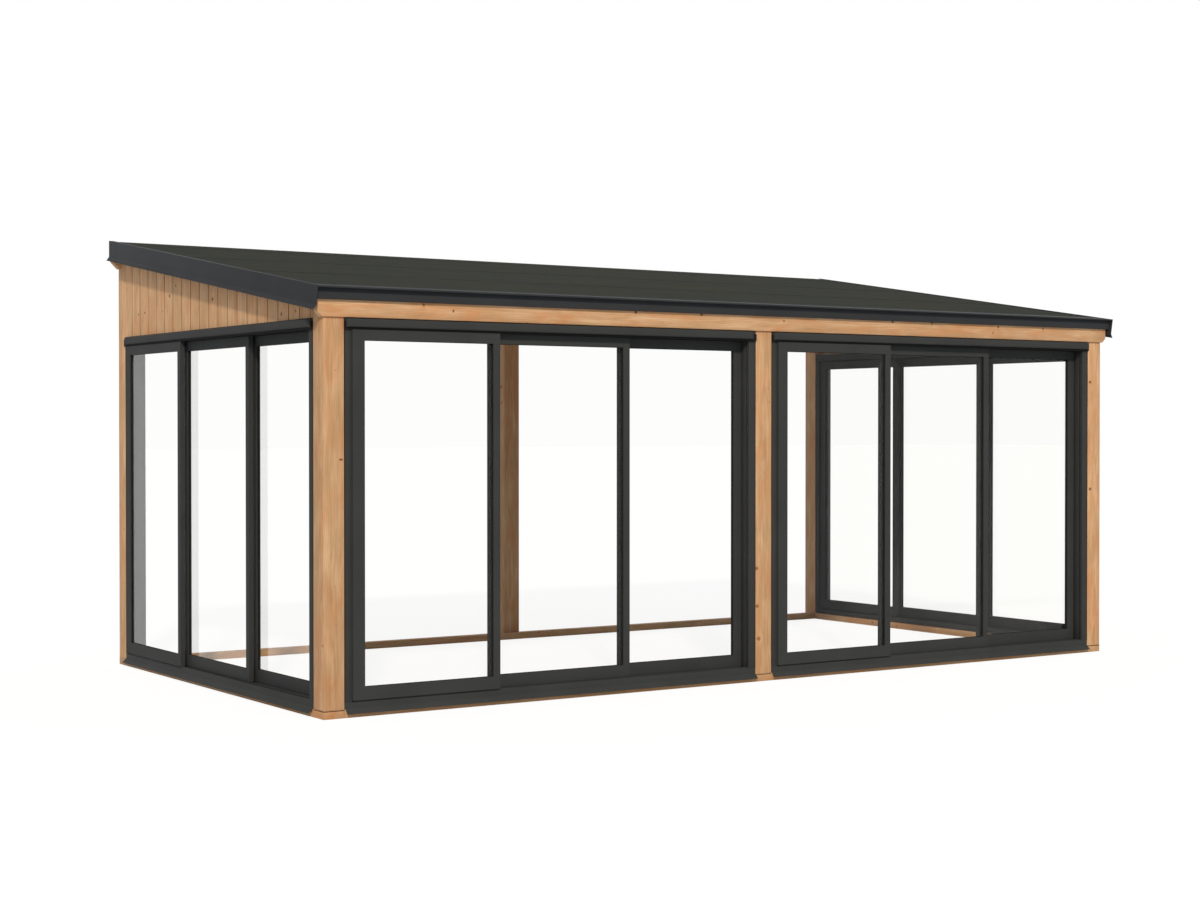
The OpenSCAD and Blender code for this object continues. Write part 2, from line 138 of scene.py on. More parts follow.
def softwoodMaterial(along):
    # along is the axis of the grain; each board or post brings its own pith line and tone
    w = softwood
    material, tree = newMaterial("planed softwood along " + along)
    place = add(tree, "TexCoord")
    pith = add(tree, "Attribute", {"attribute_name": "pith"})
    tone = add(tree, "Attribute", {"attribute_name": "tone"}).outputs["Fac"]
    light = add(tree, "Attribute", {"attribute_name": "light"}).outputs["Fac"]
    local = add(tree, "VectorMath", {"operation": "SUBTRACT"},
                {0: place.outputs["Object"], 1: pith.outputs["Vector"]})
    parts = add(tree, "SeparateXYZ", None, {0: local})
    order = {"X": "YZX", "Y": "ZXY", "Z": "XYZ"}[along]
    cross = [parts.outputs[a] for a in order]

    # The noises, in coordinates that are stretched along the grain
    fields = {}
    for name in ("drift", "wobble", "streaks", "patches", "fibres"):
        acrossMm, alongMm, detail, roughness, distortion = w[name]
        cells = add(tree, "CombineXYZ", None, {
            i: add(tree, "Math", {"operation": "MULTIPLY", 0: axis, 1: 1 / (size * mm)})
            for i, (axis, size) in enumerate(zip(cross, (acrossMm, acrossMm, alongMm)))})
        fields[name] = add(tree, "TexNoise", {"Scale": 1, "Detail": detail, "Roughness": roughness,
                                              "Distortion": distortion}, {"Vector": cells})

    # Knots run out from the pith like branches: on a face each is a round spot. Cells are laid
    # out by the angle round the pith and the length, and the spot is measured in real distance
    across = add(tree, "CombineXYZ", None, {0: cross[0], 1: cross[1]})
    radius = add(tree, "VectorMath", {"operation": "LENGTH"}, {0: across}).outputs["Value"]
    angle = add(tree, "Math", {"operation": "ARCTAN2"}, {0: cross[1], 1: cross[0]})
    perTurn = w["knotsRound"] / (2 * math.pi)
    perLength = 1 / (w["knotEveryMm"] * mm)
    turned = add(tree, "Math", {"operation": "MULTIPLY", 1: perTurn}, {0: angle})
    lengthwise = add(tree, "Math", {"operation": "MULTIPLY", 1: perLength}, {0: cross[2]})
    layout = add(tree, "CombineXYZ", None, {0: turned, 1: lengthwise})
    cells = add(tree, "TexVoronoi", {"voronoi_dimensions": "2D", "Scale": 1}, {"Vector": layout})
    centre = add(tree, "SeparateXYZ", None, {0: cells.outputs["Position"]})
    chance = add(tree, "SeparateColor", None, {0: cells.outputs["Color"]})
    centreAngle = add(tree, "Math", {"operation": "DIVIDE", 1: perTurn}, {0: centre.outputs[0]})
    centreRise = add(tree, "Math", {"operation": "DIVIDE", 1: perLength}, {0: centre.outputs[1]})
    swing = add(tree, "Math", {"operation": "SUBTRACT"}, {0: angle, 1: centreAngle})
    arc = add(tree, "Math", {"operation": "MULTIPLY"}, {0: radius, 1: swing})
    rise = add(tree, "Math", {"operation": "SUBTRACT"}, {0: cross[2], 1: centreRise})
    spread = add(tree, "VectorMath", {"operation": "LENGTH"},
                 {0: add(tree, "CombineXYZ", None, {0: arc, 1: rise})}).outputs["Value"]
    # No knot lies across the seam of the angle, and some cells have next to none
    seam = add(tree, "Math", {"operation": "ABSOLUTE"}, {0: centreAngle})
    kept = add(tree, "MapRange", {"From Min": math.pi - 0.45, "From Max": math.pi - 0.35,
                                  "To Min": 1.0, "To Max": 0.0}, {"Value": seam})
    knotSize = add(tree, "MapRange", {"From Min": 0.25, "From Max": 1.0, "To Min": 0.0,
                                      "To Max": w["knotMm"] * mm}, {"Value": chance.outputs[0]})
    taper = add(tree, "MapRange", {"From Min": 0.01, "From Max": 0.08, "To Min": 0.55, "To Max": 1.15},
                {"Value": radius})
    sized = add(tree, "Math", {"operation": "MULTIPLY"}, {0: kept, 1: knotSize})
    sized = add(tree, "Math", {"operation": "MULTIPLY"}, {0: sized, 1: taper})
    sized = add(tree, "Math", {"operation": "MAXIMUM", 1: 0.0001}, {0: sized})
    far = add(tree, "Math", {"operation": "DIVIDE"}, {0: spread, 1: sized})

    # Growth rings round the pith, wandering along the length and bending round the knots
    bulge = add(tree, "MapRange", {"interpolation_type": "SMOOTHSTEP", "From Min": 3.6, "From Max": 0.4,
                                   "To Min": 0.0, "To Max": w["bulgeMm"] * mm}, {"Value": far})
    drift = add(tree, "MapRange", {"To Min": -w["driftMm"] * mm, "To Max": w["driftMm"] * mm},
                {"Value": fields["drift"]})
    wobble = add(tree, "MapRange", {"To Min": -w["wobbleMm"] * mm, "To Max": w["wobbleMm"] * mm},
                 {"Value": fields["wobble"]})
    total = radius
    for part in (drift, wobble, bulge):
        total = add(tree, "Math", {"operation": "ADD"}, {0: total, 1: part})
    rings = add(tree, "Math", {"operation": "MULTIPLY", 1: 1 / (w["ringMm"] * mm)}, {0: total})
    phase = add(tree, "Math", {"operation": "FRACT"}, {0: rings})
    lateWood = add(tree, "ValToRGB", None, {0: phase})
    stops = lateWood.color_ramp
    stops.elements[0].color = (0, 0, 0, 1)
    stops.elements[0].position = 0.35
    stops.elements[1].color = (1, 1, 1, 1)
    stops.elements[1].position = 0.86
    stops.elements.new(0.99).color = (0.1, 0.1, 0.1, 1)

    # Broad streaks, warmer and olive patches, and fine fibres along the grain
    patches = add(tree, "SeparateColor", None, {0: fields["patches"].outputs["Color"]})
    streaks = add(tree, "Math", {"operation": "MULTIPLY", 1: 0.6}, {0: fields["streaks"]})
    lightness = add(tree, "Math", {"operation": "MULTIPLY_ADD", 1: 0.6}, {0: patches.outputs[2], 2: streaks})
    paleShare = add(tree, "MapRange", {"From Min": 0.42, "From Max": 0.78}, {"Value": lightness})
    color = add(tree, "Mix", {"data_type": "RGBA", 6: linear(w["body"]), 7: linear(w["pale"])},
                {0: paleShare}).outputs[2]
    for name, channel, start, low, high in (("warm", 0, 0.46, 0.2, 0.75), ("olive", 1, 0.48, 0.7, 0.15)):
        patch = add(tree, "MapRange", {"From Min": start, "From Max": 0.66},
                    {"Value": patches.outputs[channel]})
        strength = add(tree, "MapRange", {"To Min": low, "To Max": high}, {"Value": tone})
        share = add(tree, "Math", {"operation": "MULTIPLY"}, {0: patch, 1: strength})
        color = add(tree, "Mix", {"data_type": "RGBA", 7: linear(w[name])}, {0: share, 6: color}).outputs[2]
    share = add(tree, "Math", {"operation": "MULTIPLY", 1: w["lateWoodShare"]}, {0: lateWood})
    color = add(tree, "Mix", {"data_type": "RGBA", 7: linear(w["lateWood"])}, {0: share, 6: color}).outputs[2]
    fibreShade = add(tree, "MapRange", {"From Min": 0.25, "From Max": 0.75, "To Min": 0.93, "To Max": 1.06},
                     {"Value": fields["fibres"]})
    # Each piece's lightness: a tone of its own, and on some pieces and faces painted shade or painted light
    tint = add(tree, "Math", {"operation": "MULTIPLY"}, {0: fibreShade, 1: light})
    color = add(tree, "VectorMath", {"operation": "SCALE"}, {0: color, "Scale": tint})

    # A knot has a soft rim and a dark or a reddish heart
    redShare = add(tree, "MapRange", {"From Min": 0.35, "From Max": 0.5}, {"Value": chance.outputs[1]})
    heart = add(tree, "Mix", {"data_type": "RGBA", 6: linear(w["knot"]), 7: linear(w["redKnot"])},
                {0: redShare})
    for start, end, most, over in ((1.9, 1.0, 0.6, linear(w["knotRim"])),
                                   (1.0, 0.55, 0.88, heart.outputs[2])):
        share = add(tree, "MapRange", {"interpolation_type": "SMOOTHSTEP", "From Min": start, "From Max": end,
                                       "To Min": 0.0, "To Max": most}, {"Value": far})
        color = add(tree, "Mix", {"data_type": "RGBA"}, {0: share, 6: color, 7: over}).outputs[2]

    # Relief of the fibres and of the harder late wood
    relief = add(tree, "Math", {"operation": "MULTIPLY_ADD", 1: 0.5}, {0: lateWood, 2: fields["fibres"]})
    bump = add(tree, "Bump", {"Strength": 0.25, "Distance": 0.0008}, {"Height": relief})
    rough = add(tree, "MapRange", {"To Min": w["roughness"] - 0.08, "To Max": w["roughness"] + 0.1},
                {"Value": fields["fibres"]})
    shader = add(tree, "BsdfPrincipled", {"IOR": 1.5, "Specular IOR Level": w["specular"]},
                 {"Base Color": color, "Normal": bump, "Roughness": rough})
    finishSurface(tree, shader)
    return material


# Powder-coated metal: even dark grey, fine matt, with the faint orange peel of a baked coat
powderCoat = {
    "doors": "#3f4142",
    "trims": "#3a3c40",
    "specular": 0.03,  # a fine matt coat mirrors far less than a smooth one
    "roughness": 0.55,
    "peelMm": 3,  # real orange peel is 1 to 2 mm, drawn coarser so that it shows
    "cloudMm": 260,
}


def powderCoatMaterial(name, hexColor):
    p = powderCoat
    material, tree = newMaterial(name)
    place = add(tree, "TexCoord")
    cloud = add(tree, "TexNoise", {"Scale": 1 / (p["cloudMm"] * mm), "Detail": 3},
                {"Vector": place.outputs["Object"]})
    shade = add(tree, "MapRange", {"From Min": 0.3, "From Max": 0.7, "To Min": 0.94, "To Max": 1.06},
                {"Value": cloud.outputs[0]})
    color = add(tree, "VectorMath", {"operation": "SCALE", 0: linear(hexColor)[:3]},
                {"Scale": shade.outputs[0]})
    peel = add(tree, "TexNoise", {"Scale": 1 / (p["peelMm"] * mm), "Detail": 2},
               {"Vector": place.outputs["Object"]})
    bump = add(tree, "Bump", {"Strength": 0.12, "Distance": 0.0004}, {"Height": peel.outputs[0]})
    rough = add(tree, "MapRange", {"To Min": p["roughness"] - 0.05, "To Max": p["roughness"] + 0.06},
                {"Value": peel.outputs[0]})
    shader = add(tree, "BsdfPrincipled", {"IOR": 1.5, "Specular IOR Level": p["specular"]},
                 {"Base Color": color.outputs[0], "Roughness": rough.outputs[0], "Normal": bump.outputs[0]})
    finishSurface(tree, shader)
    return material


# Mineral roofing felt: dark green-grey granules in bitumen, matt, with faint rolled streaks and
# olive patches
feltFinish = {
    "body": "#343631",
    "dark": "#2d302b",
    "patch": "#37352b",
    "light": "#40433d",
    "granuleMm": 5,  # real granules are 1 to 2 mm, drawn coarser so that they show
    "streakMm": 60,
    "patchMm": 420,
    "roughness": 0.95,
}


def feltMaterial():
    f = feltFinish
    material, tree = newMaterial("mineral roofing felt")
    place = add(tree, "TexCoord")
    granules = add(tree, "TexVoronoi", {"Scale": 1 / (f["granuleMm"] * mm)},
                   {"Vector": place.outputs["Object"]})
    grain = add(tree, "SeparateColor", None, {0: granules.outputs["Color"]})
    rolled = add(tree, "Mapping", {"Scale": (0.12, 1, 1)}, {0: place.outputs["Object"]})
    streaks = add(tree, "TexNoise", {"Scale": 1 / (f["streakMm"] * mm), "Detail": 3},
                  {"Vector": rolled.outputs[0]})
    streakMix = add(tree, "MapRange", {"From Min": 0.35, "From Max": 0.7}, {"Value": streaks.outputs[0]})
    base = add(tree, "Mix", {"data_type": "RGBA", 6: linear(f["dark"]), 7: linear(f["body"])},
               {0: streakMix.outputs[0]})
    patches = add(tree, "TexNoise", {"Scale": 1 / (f["patchMm"] * mm), "Detail": 2},
                  {"Vector": place.outputs["Object"]})
    patchMix = add(tree, "MapRange", {"From Min": 0.5, "From Max": 0.7, "To Max": 0.6},
                   {"Value": patches.outputs[0]})
    patched = add(tree, "Mix", {"data_type": "RGBA", 7: linear(f["patch"])},
                  {0: patchMix.outputs[0], 6: base.outputs[2]})
    speck = add(tree, "MapRange", {"From Min": 0.55, "From Max": 1.0, "To Max": 0.6},
                {"Value": grain.outputs[0]})
    specked = add(tree, "Mix", {"data_type": "RGBA", 7: linear(f["light"])},
                  {0: speck.outputs[0], 6: patched.outputs[2]})
    bump = add(tree, "Bump", {"Strength": 0.5, "Distance": 0.001}, {"Height": granules.outputs["Distance"]})
    shader = add(tree, "BsdfPrincipled", {"IOR": 1.5, "Roughness": f["roughness"], "Specular IOR Level": 0.05},
                 {"Base Color": specked.outputs[2], "Normal": bump.outputs[0]})
    finishSurface(tree, shader)
    return material


# Toughened float glass: clear and all but colourless, with a faint mirror skin; lamps pass through
glassFinish = {
    "tint": "#fdfdfc",
    "ior": 1.5,
    "mirror": "#404040",  # weak, so that dark things behind the glass stay dark in bright surroundings
}


def glassMaterial():
    material, tree = newMaterial("toughened glass")
    pane = add(tree, "BsdfPrincipled", {"Base Color": linear(glassFinish["tint"]), "Roughness": 0.0,
                                        "IOR": glassFinish["ior"], "Transmission Weight": 1.0,
                                        "Specular Tint": linear(glassFinish["mirror"])})
    clearPath = add(tree, "BsdfTransparent", {"Color": (0.92, 0.93, 0.92, 1)})
    path = add(tree, "LightPath")
    lamps = add(tree, "Math", {"operation": "MAXIMUM"},
                {0: path.outputs["Is Shadow Ray"], 1: path.outputs["Is Diffuse Ray"]})
    mix = add(tree, "MixShader", None, {0: lamps.outputs[0], 1: pane.outputs[0], 2: clearPath.outputs[0]})
    finishSurface(tree, mix)
    return material


# Extruded rubber and brush pile: black, matt, very slightly mottled. A dark brown strip is painted shadow, set
# in joints beside the posts
rubberFinish = {"black": "#1d1d1e", "jointShadowBrown": "#38281c", "roughness": 0.75, "specular": 0.1, "mottleMm": 12}


def rubberMaterial(name, hexColor):
    r = rubberFinish
    material, tree = newMaterial(name)
    place = add(tree, "TexCoord")
    mottle = add(tree, "TexNoise", {"Scale": 1 / (r["mottleMm"] * mm), "Detail": 3},
                 {"Vector": place.outputs["Object"]})
    shade = add(tree, "MapRange", {"To Min": 0.8, "To Max": 1.25}, {"Value": mottle.outputs[0]})
    color = add(tree, "VectorMath", {"operation": "SCALE", 0: linear(hexColor)[:3]},
                {"Scale": shade.outputs[0]})
    shader = add(tree, "BsdfPrincipled", {"IOR": 1.52, "Roughness": r["roughness"],
                                          "Specular IOR Level": r["specular"]},
                 {"Base Color": color.outputs[0]})
    finishSurface(tree, shader)
    return material


materials = {
    "woodX": softwoodMaterial("X"),
    "woodY": softwoodMaterial("Y"),
    "woodZ": softwoodMaterial("Z"),
    "doorMetal": powderCoatMaterial("powder-coated aluminium", powderCoat["doors"]),
    "trimMetal": powderCoatMaterial("powder-coated steel", powderCoat["trims"]),
    "felt": feltMaterial(),
    "glass": glassMaterial(),
    "rubber": rubberMaterial("sealing rubber", rubberFinish["black"]),
    "jointShadow": rubberMaterial("dark strip as painted joint shadow", rubberFinish["jointShadowBrown"]),
}
print("materials made")


def islands(bm):
    # Lists the faces of each separate solid in a mesh
    seen, groups = set(), []
    for face in bm.faces:
        if face in seen:
            continue
        group, todo = [], [face]
        seen.add(face)
        while todo:
            current = todo.pop()
            group.append(current)
            for edge in current.edges:
                for other in edge.link_faces:
                    if other not in seen:
                        seen.add(other)
                        todo.append(other)
        groups.append(group)
    return groups


def markPieces(bm, seed, lights=(1.0,), heartMm=(6, 28), plankMm=(30, 95)):
    # Gives every solid its own pith line, tone and lightness, so that no two have the same grain:
    # posts are sawn round the heart, and planks beside it. lights go to the solids from left to right
    rng = random.Random(seed)
    pith = bm.faces.layers.float_vector.new("pith")
    tone = bm.faces.layers.float.new("tone")
    light = bm.faces.layers.float.new("light")
    spans = []
    for group in islands(bm):
        verts = {v for f in group for v in f.verts}
        low = Vector([min(v.co[i] for v in verts) for i in range(3)])
        high = Vector([max(v.co[i] for v in verts) for i in range(3)])
        spans.append((low, high, group))
    spans.sort(key=lambda span: (round(span[0].x, 3), round(span[0].y, 3)))
    for i, (low, high, group) in enumerate(spans):
        size = high - low
        thin, wide, longest = sorted(range(3), key=lambda i: size[i])
        centre = (low + high) / 2
        centre[longest] += rng.uniform(-6, 6)
        if size[wide] > 1.5 * size[thin]:
            centre[thin] += rng.choice((-1, 1)) * rng.uniform(*plankMm) * mm
            centre[wide] += rng.uniform(-0.35, 0.35) * size[wide]
        else:
            angle, reach = rng.uniform(0, 2 * math.pi), rng.uniform(*heartMm) * mm
            centre[thin] += reach * math.cos(angle)
            centre[wide] += reach * math.sin(angle)
        value = rng.random()
        bright = lights[min(i, len(lights) - 1)] * rng.uniform(0.97, 1.03)
        for face in group:
            face[pith] = centre
            face[tone] = value
            face[light] = bright


def soften(bm, width, segments=2, angleDeg=25):
    # Rounds every sharp edge by width
    edges = [e for e in bm.edges if len(e.link_faces) == 2
             and e.calc_face_angle(0) > math.radians(angleDeg)]
    bmesh.ops.bevel(bm, geom=edges, offset=width, segments=segments, profile=0.5,
                    affect="EDGES", clamp_overlap=True)


def addPrism(bm, outline, place, start, end):
    # A solid with the given outline; place(a, b, t) gives the point of outline (a, b) at t
    rings = [[bm.verts.new(place(a, b, t)) for a, b in outline] for t in (start, end)]
    count = len(outline)
    for i in range(count):
        j = (i + 1) % count
        bm.faces.new((rings[0][i], rings[0][j], rings[1][j], rings[1][i]))
    bm.faces.new(rings[0])
    bm.faces.new(rings[1])


def addBox(bm, place, low, high):
    # A box between two corners given in the axes of place
    outline = [(low[0], low[1]), (high[0], low[1]), (high[0], high[1]), (low[0], high[1])]
    addPrism(bm, outline, place, low[2], high[2])


def makePiece(name, bm, material, body, smoothDeg=32):
    bmesh.ops.recalc_face_normals(bm, faces=bm.faces[:])
    mesh = bpy.data.meshes.new(name)
    bm.to_mesh(mesh)
    bm.free()
    mesh.materials.append(material)
    for polygon in mesh.polygons:
        polygon.use_smooth = True
    mesh.set_sharp_from_angle(angle=math.radians(smoothDeg))
    piece = bpy.data.objects.new(name, mesh)
    bpy.context.collection.objects.link(piece)
    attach(piece, body)
    return piece


def refine(node, name, material, width, seed=1, lights=(1.0,)):
    # The node's own solids with their edges softened
    bm = bmesh.new()
    bm.from_mesh(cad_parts[node].data)
    bmesh.ops.remove_doubles(bm, verts=bm.verts[:], dist=1e-5)
    bmesh.ops.dissolve_limit(bm, angle_limit=math.radians(0.4), verts=bm.verts[:], edges=bm.edges[:])
    soften(bm, width)
    markPieces(bm, seed, lights)
    piece = makePiece(name, bm, material, "building")
    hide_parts(node)
    return piece


timberFrame = {
    "postEdge": 3 * mm,
    "beamEdge": 2.5 * mm,
    "plateEdge": 1.5 * mm,
    "frontPostLights": (1.0, 1.02, 1.08),  # from left to right
    # The middle back post, seen through the glass, is drawn darker as painted shade of the inside under the
    # roof; the others differ in tone
    "backPostLightsAndShade": (1.13, 0.85, 1.0),
    # The front beam is drawn lighter: painted light that makes up for the shade of the roof edge above it
    "beamPaintedLight": 1.12,
    # The plates are drawn darker: painted shade from the sills that overhang them
    "platePaintedShade": 0.9,
}
print("making the timber frame")
refine("front_posts", "posts_front", materials["woodZ"], timberFrame["postEdge"], seed=11,
       lights=timberFrame["frontPostLights"])
refine("back_posts", "posts_back", materials["woodZ"], timberFrame["postEdge"], seed=12,
       lights=timberFrame["backPostLightsAndShade"])
refine("front_beam", "beam_front", materials["woodX"], timberFrame["beamEdge"], seed=13,
       lights=(timberFrame["beamPaintedLight"],))
refine("back_beam", "beam_back", materials["woodX"], timberFrame["beamEdge"], seed=14)
for place, grain, seed in (("front", "woodX", 115), ("back", "woodX", 16), ("left", "woodY", 17),
                           ("right", "woodY", 18)):
    refine(place + "_plate", "plate_" + place, materials[grain], timberFrame["plateEdge"], seed,
           (timberFrame["platePaintedShade"],))
refine("rafters", "roof_rafters", materials["woodY"], timberFrame["beamEdge"], seed=19)
refine("gable_rails", "rails_gable", materials["woodY"], timberFrame["beamEdge"], seed=20)


roof = {"risePerMetre": 0.1517}
slope = math.atan(roof["risePerMetre"])
upSlope = Vector((0, math.cos(slope), math.sin(slope)))
offRoof = Vector((0, -math.sin(slope), math.cos(slope)))


def roofEdge():
    # Upper front corner of the verge trims, and their length up the slope
    low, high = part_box("left_verge_trim")
    depth = high[1] - low[1]
    return Vector((0, low[1], high[2] - depth * math.tan(slope))), depth / math.cos(slope)


roofStart, roofLength = roofEdge()


def onRoof(x, out, along):
    # A point of the roof: x across, out square to the slope, along up the slope
    return roofStart + Vector((x, 0, 0)) + offRoof * out + upSlope * along


def slopeAt(y):
    # How far up the slope the front edge of depth y is
    return (y - roofStart.y) / math.cos(slope)


def roofHeight(y, out):
    # Height at depth y of the plane that lies out from the roof surface
    return roofStart.z + (y - roofStart.y) * math.tan(slope) + out / math.cos(slope)


# Layers from the roof surface down, as in the solids
layers = {"trim": 2.2 * mm, "felt": 6 * mm, "boards": 18 * mm}
feltTop = -layers["trim"]
boardTop = feltTop - layers["felt"]
boardUnder = boardTop - layers["boards"]


gable = {
    "pitch": 135.6 * mm,
    "firstJoint": 24.7 * mm,  # from the front post
    "grooveWide": 6.5 * mm,
    "grooveDeep": 10 * mm,
    "gap": 1.2 * mm,
    "bevel": 0.8 * mm,
    "tongue": (0.65, 0.9),  # its two faces, as shares of the board's thickness
    "tongueBite": 0.5 * mm,  # how far it goes into both boards
    "narrowest": 20 * mm,  # no board at the back is less wide
    "underRoof": 0.4 * mm,
    "light": 1.1,
    "groovePaintedShade": 0.35,  # painted shade: the faces inside the grooves and the tongue's face are drawn much darker
}


def makeGable(side, seed):
    node = side + "_gable_boards"
    low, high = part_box(node)
    outward = -1 if side == "left" else 1
    faceX = low[0] if side == "left" else high[0]
    thick = high[0] - low[0]
    joints = [low[1]]
    y = low[1] + gable["firstJoint"]
    while y < high[1] - gable["narrowest"]:
        joints.append(y)
        y += gable["pitch"]
    joints.append(high[1])
    bm = bmesh.new()

    def place(a, b, t):
        # a along the wall, b inwards from the face, t as a share of the height at a
        top = roofHeight(a, boardUnder) - gable["underRoof"]
        return Vector((faceX - outward * b, a, low[2] + t * (top - low[2])))

    for a0, a1 in zip(joints, joints[1:]):
        y0 = a0 + (gable["gap"] / 2 if a0 > low[1] else 0)
        y1 = a1 - (gable["gap"] / 2 if a1 < high[1] else 0)
        g = gable["grooveWide"] / 2
        deep, bevel = gable["grooveDeep"], gable["bevel"]
        outline = [(y0 + g, bevel), (y0 + g + bevel, 0), (y1 - g - bevel, 0), (y1 - g, bevel),
                   (y1 - g, deep), (y1, deep), (y1, thick), (y0, thick), (y0, deep), (y0 + g, deep)]
        addPrism(bm, outline, place, 0, 1)
        # The tongue that closes the joint behind the groove
        if a1 < high[1]:
            bite, (front, back) = gable["tongueBite"], gable["tongue"]
            addBox(bm, place, (y1 - bite, thick * front, 0), (y1 + gable["gap"] + bite, thick * back, 1))
    markPieces(bm, seed, (gable["light"],))
    # Painted shade: the faces inside each groove and the tongue's face get a much lower lightness
    light = bm.faces.layers.float["light"]
    for face in bm.faces:
        depth = abs(face.calc_center_median().x - faceX)
        inGroove = 2 * mm < depth < gable["grooveDeep"] + 2 * mm
        onTongue = abs(depth / thick - gable["tongue"][0]) < 0.01
        if inGroove or onTongue:
            face[light] = gable["groovePaintedShade"]
    piece = makePiece("boards_gable_" + side, bm, materials["woodZ"], "building", smoothDeg=20)
    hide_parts(node)


makeGable("left", 31)
makeGable("right", 32)
print("gable boards laid")


roofBoards = {"pitch": 121 * mm, "grooveWide": 8 * mm, "grooveDeep": 4 * mm, "gap": 1 * mm,
              "narrowest": 30 * mm}
feltLay = {
    "width": 1000 * mm,
    "lap": 90 * mm,
    "thick": 4.4 * mm,
    "step": 1.2 * mm,  # the laps are pressed flat, so that an edge stands up by less than the sheet
    "joints": (0.42, 0.78, 0.25),
    "jointGap": 2 * mm,
}


def makeRoofBoards():
    low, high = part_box("roof_boards")
    end = roofLength
    first = slopeAt(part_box("front_beam")[0][1])
    bm = bmesh.new()

    def place(a, b, t):
        return onRoof(t, b, a)

    position = first
    while position < end - mm:
        far = min(position + roofBoards["pitch"], end)
        if end - far < roofBoards["narrowest"]:
            far = end
        a0, a1 = position + roofBoards["gap"] / 2, far - roofBoards["gap"] / 2
        g, d = roofBoards["grooveWide"] / 2, roofBoards["grooveDeep"]
        outline = [(a0, boardTop), (a1, boardTop), (a1, boardUnder + d), (a1 - g, boardUnder),
                   (a0 + g, boardUnder), (a0, boardUnder + d)]
        addPrism(bm, outline, place, low[0], high[0])
        position = far
    markPieces(bm, 41)
    piece = makePiece("boards_roof", bm, materials["woodX"], "building", smoothDeg=20)
    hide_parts("roof_boards")


def makeFelt():
    low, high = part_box("roof_felt")
    first = slopeAt(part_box("front_beam")[0][1])
    bm = bmesh.new()

    def place(a, b, t):
        return onRoof(t, b, a)

    t = feltLay["thick"]
    position, strip = first, 0
    while position < roofLength - mm:
        far = min(position + feltLay["width"], roofLength)
        # Each strip lies on the one below at its lower edge and on the boards at its upper edge
        lift = feltLay["step"] if strip else 0.0
        outline = [(position, boardTop + lift), (far, boardTop), (far, boardTop + t),
                   (position, boardTop + lift + t)]
        joint = low[0] + (high[0] - low[0]) * feltLay["joints"][strip % 3]
        addPrism(bm, outline, place, low[0], joint - feltLay["jointGap"] / 2)
        addPrism(bm, outline, place, joint + feltLay["jointGap"] / 2, high[0])
        position = far - feltLay["lap"] if far < roofLength else roofLength
        strip += 1
    markPieces(bm, 42)
    piece = makePiece("felt_roof", bm, materials["felt"], "building", smoothDeg=20)
    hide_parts("roof_felt")


makeRoofBoards()
makeFelt()
print("roof boarded and felted")

refine("left_verge_trim", "trim_verge_left", materials["trimMetal"], 0.4 * mm, seed=51)
refine("right_verge_trim", "trim_verge_right", materials["trimMetal"], 0.4 * mm, seed=52)
refine("front_drip_trim", "trim_drip_front", materials["trimMetal"], 0.4 * mm, seed=53)
refine("front_fascia", "fascia_front", materials["trimMetal"], 1.5 * mm, seed=54)


bays = {
    "front_left": {"along": Vector((1, 0, 0)), "inward": Vector((0, 1, 0))},
    "front_right": {"along": Vector((1, 0, 0)), "inward": Vector((0, 1, 0))},
    "left": {"along": Vector((0, -1, 0)), "inward": Vector((1, 0, 0))},
    "right": {"along": Vector((0, 1, 0)), "inward": Vector((-1, 0, 0))},
}
doorParts = {
    "jambStile": 70 * mm,
    "lapStile": 43 * mm,
    "bottomRail": 68 * mm,
    "topRail": 55 * mm,
    "thick": 28 * mm,
    "finHigh": 32 * mm,
    "finThick": 6 * mm,
    "finInset": 15 * mm,
    "glassThick": 6 * mm,
    "glassBite": 12 * mm,
    "edge": 1.2 * mm,
    "hairline": 0.2 * mm,  # between rails and stiles
    "gasketWide": 2 * mm,
    "gasketBack": 7 * mm,  # how far the rubber stays behind the frame's face
}


def spanIn(side, node):
    # A node's box in the bay's own axes: along the wall, inward, up
    bay = bays[side]
    corners = [Vector(c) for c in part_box(node)]
    spans = []
    for axis in (bay["along"], bay["inward"], up):
        values = sorted(c.dot(axis) for c in corners)
        spans.append((values[0], values[-1]))
    return spans


def inBay(side):
    bay = bays[side]
    return lambda a, b, t: bay["along"] * a + bay["inward"] * b + up * t


